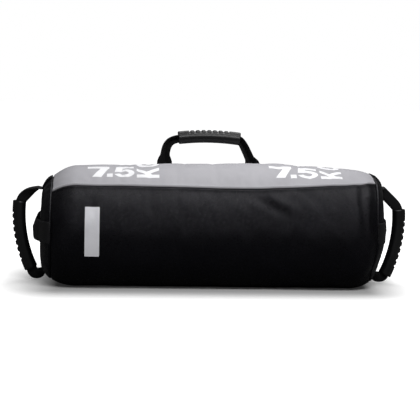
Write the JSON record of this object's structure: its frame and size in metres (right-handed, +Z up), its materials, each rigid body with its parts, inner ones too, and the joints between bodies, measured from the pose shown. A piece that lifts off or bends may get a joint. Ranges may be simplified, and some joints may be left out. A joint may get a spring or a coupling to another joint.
{
  "type": "sandbag trainer",
  "caption": "Stuffed fabric roll for strength training, with a ribbed carry handle on top and at each end and a zipped end.",
  "frame": {"origin": "middle of the flat underside of the stuffed body, on the ground", "axes": "+X along the bag towards the end without the zip, -Y towards the side seen in the picture, +Z up"},
  "size_m": [0.7144, 0.23, 0.2733],
  "materials": {
    "black_coated_fabric": "PVC-coated woven fabric, fine embossed lattice, low sheen",
    "grey_coated_fabric": "PVC-coated woven fabric, smooth and matt",
    "black_webbing": "woven polypropylene webbing",
    "moulded_rubber": "moulded rubber, satin",
    "binding_tape": "woven polyester tape",
    "zip_nylon": "nylon zip tape with moulded teeth",
    "zip_metal": "black enamelled die-cast zinc",
    "wadding": "felted textile wadding",
    "liner_cloth": "close-woven nylon",
    "sand": "dry sand"
  },
  "bodies": {
    "bag": {"main_panel": "black_coated_fabric", "top_panel": "grey_coated_fabric", "left_end_panel": "black_coated_fabric", "right_end_panel": "black_coated_fabric", "front_seam_tape": "binding_tape", "back_seam_tape": "binding_tape", "left_end_seam_tape": "binding_tape", "right_end_seam_tape": "binding_tape", "padding_roll": "wadding", "left_padding_disc": "wadding", "right_padding_disc": "wadding", "sand_liner": "liner_cloth", "sand_fill": "sand", "liner_tie": "binding_tape", "zip_upper_tape": "zip_nylon", "zip_lower_tape": "zip_nylon", "left_end_band": "black_webbing", "right_end_band": "black_webbing", "left_upper_anchor": "black_webbing", "left_lower_anchor": "black_webbing", "right_upper_anchor": "black_webbing", "right_lower_anchor": "black_webbing", "top_left_foot": "black_webbing", "top_right_foot": "black_webbing"},
    "top_handle": {"top_strap": "black_webbing", "top_grip": "moulded_rubber"},
    "left_handle": {"left_strap": "black_webbing", "left_grip": "moulded_rubber"},
    "right_handle": {"right_strap": "black_webbing", "right_grip": "moulded_rubber"},
    "slider": {"zip_slider": "zip_metal"},
    "pull": {"zip_pull": "zip_metal"}
  },
  "joints": [
    {"name": "top_handle_swing", "type": "hinge", "parent": "bag", "child": "top_handle", "pos_m": [-0.003, 0.05775, 0.2086], "axis": [1, 0, 0], "range_deg": [-95, 60], "stiffness_Nm_per_rad": 0.25},
    {"name": "left_handle_swing", "type": "hinge", "parent": "bag", "child": "left_handle", "pos_m": [-0.312, 0, 0.1], "axis": [0, 0, 1], "range_deg": [-50, 50], "stiffness_Nm_per_rad": 0.15},
    {"name": "right_handle_swing", "type": "hinge", "parent": "bag", "child": "right_handle", "pos_m": [0.312, 0, 0.1], "axis": [0, 0, 1], "range_deg": [-50, 50], "stiffness_Nm_per_rad": 0.15},
    {"name": "zip_slide", "type": "slide", "parent": "bag", "child": "slider", "axis": [0, 1, 0], "range_m": [-0.098, 0]},
    {"name": "pull_swing", "type": "hinge", "parent": "slider", "child": "pull", "pos_m": [-0.306, 0.049, 0.0979], "axis": [0, 1, 0], "range_deg": [0, 15]}
  ]
}
